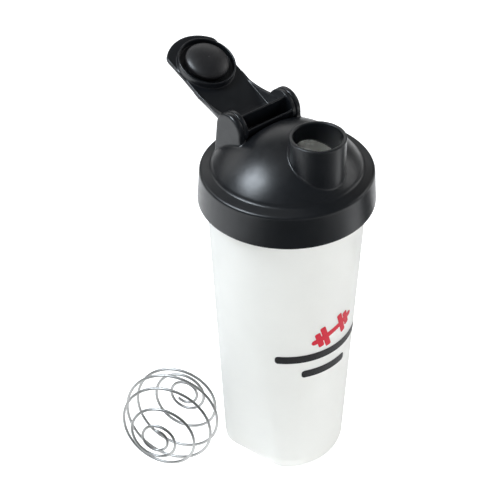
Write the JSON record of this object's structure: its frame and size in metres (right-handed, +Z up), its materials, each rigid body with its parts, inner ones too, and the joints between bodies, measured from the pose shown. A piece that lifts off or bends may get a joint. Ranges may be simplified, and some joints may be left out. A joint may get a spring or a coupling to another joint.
{
  "type": "protein shaker bottle",
  "caption": "Tapered translucent shaker cup with a screw lid, an open pouring spout, a hinged flip cap folded back, and a loose wire whisk ball beside it.",
  "frame": {"origin": "middle of the cup's foot, on the surface it stands on", "axes": "+Z up along the cup's axis; the spout is on the -Y side; the cap's hinge is on the +Y side with its axis along X"},
  "size_m": [0.1288, 0.127, 0.2219],
  "materials": {
    "frosted_plastic": "translucent natural polypropylene, fine satin outside",
    "black_plastic": "satin moulded black polypropylene",
    "soft_plug": "satin dark soft plastic",
    "seal_rubber": "matt grey silicone",
    "steel_wire": "bright drawn stainless steel",
    "print_red": "flat screen-printed ink",
    "print_dark": "flat screen-printed ink"
  },
  "bodies": {
    "cup": {"cup": "frosted_plastic"},
    "seal": {"lid_seal": "seal_rubber"},
    "lid": {"lid_shell": "black_plastic"},
    "cap": {"flip_cap": "black_plastic", "cap_plug": "soft_plug"},
    "ball": {"whisk_ball": "steel_wire"}
  },
  "joints": [
    {"name": "lid_lift", "type": "slide", "parent": "cup", "child": "seal", "axis": [0, 0, 1], "range_m": [0, 0.0201]},
    {"name": "lid_turn", "type": "hinge", "parent": "seal", "child": "lid", "pos_m": [0, 0, 0.172], "axis": [0, 0, 1], "range_deg": [0, 1440]},
    {"name": "cap_hinge", "type": "hinge", "parent": "lid", "child": "cap", "pos_m": [0, 0.0207, 0.203], "axis": [1, 0, 0], "range_deg": [0, 156.5]},
    {"name": "ball_roll", "type": "slide", "parent": "cup", "child": "ball", "axis": [-0.9, 0.4359, 0], "range_m": [0, 0.1]}
  ],
  "couplings": [
    {"joint": "lid_lift", "follows": "lid_turn", "m_per_rad": 0.00079577}
  ]
}
